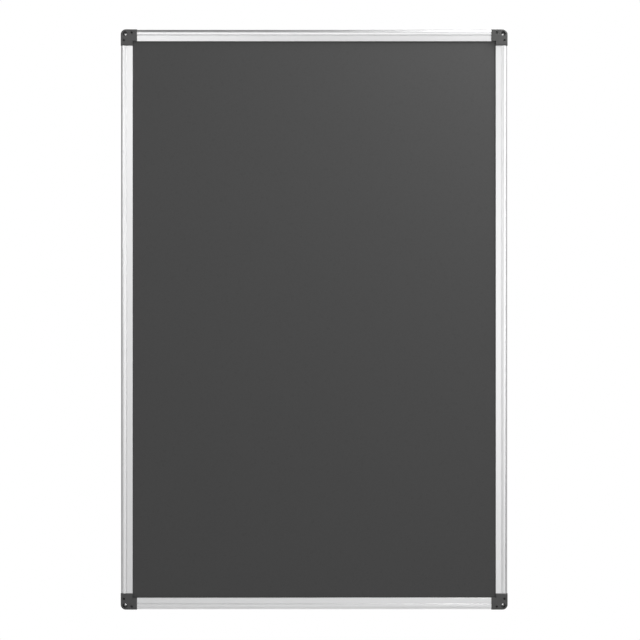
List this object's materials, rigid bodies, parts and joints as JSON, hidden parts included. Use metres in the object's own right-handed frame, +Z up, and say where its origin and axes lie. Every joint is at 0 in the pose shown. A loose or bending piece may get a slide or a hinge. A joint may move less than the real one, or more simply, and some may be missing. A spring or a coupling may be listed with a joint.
{
  "type": "cork bulletin board",
  "caption": "Wall-hung pin board: dark dyed cork composition sheet on a fibreboard core, satin aluminium frame, moulded grey corner caps with wall screw holes.",
  "frame": {"origin": "on the wall plane, behind the middle of the board", "axes": "+X to the board's right as seen by someone facing it, +Y into the wall, +Z up; the front faces -Y"},
  "size_m": [0.6, 0.0165, 0.9],
  "materials": {
    "pin_sheet": "matte",
    "core_board": "matte",
    "back_liner": "matte",
    "rails": "satin",
    "corner_caps": "matte",
    "corner_keys": "matte",
    "cap_screws": "satin",
    "rail_screws": "satin"
  },
  "bodies": {
    "root": {"pin_sheet": "pin_sheet", "core_board": "core_board", "back_liner": "back_liner", "rail_top": "rails", "rail_bottom": "rails", "rail_left": "rails", "rail_right": "rails", "corner_cap_top_left": "corner_caps", "corner_cap_top_right": "corner_caps", "corner_cap_bottom_left": "corner_caps", "corner_cap_bottom_right": "corner_caps", "corner_key_top_left": "corner_keys", "corner_key_top_right": "corner_keys", "corner_key_bottom_left": "corner_keys", "corner_key_bottom_right": "corner_keys", "cap_screw_top_left_horizontal": "cap_screws", "cap_screw_top_left_vertical": "cap_screws", "cap_screw_top_right_horizontal": "cap_screws", "cap_screw_top_right_vertical": "cap_screws", "cap_screw_bottom_left_horizontal": "cap_screws", "cap_screw_bottom_left_vertical": "cap_screws", "cap_screw_bottom_right_horizontal": "cap_screws", "cap_screw_bottom_right_vertical": "cap_screws", "rail_screw_top_left_horizontal": "rail_screws", "rail_screw_top_left_vertical": "rail_screws", "rail_screw_top_right_horizontal": "rail_screws", "rail_screw_top_right_vertical": "rail_screws", "rail_screw_bottom_left_horizontal": "rail_screws", "rail_screw_bottom_left_vertical": "rail_screws", "rail_screw_bottom_right_horizontal": "rail_screws", "rail_screw_bottom_right_vertical": "rail_screws"}
  },
  "joints": []
}
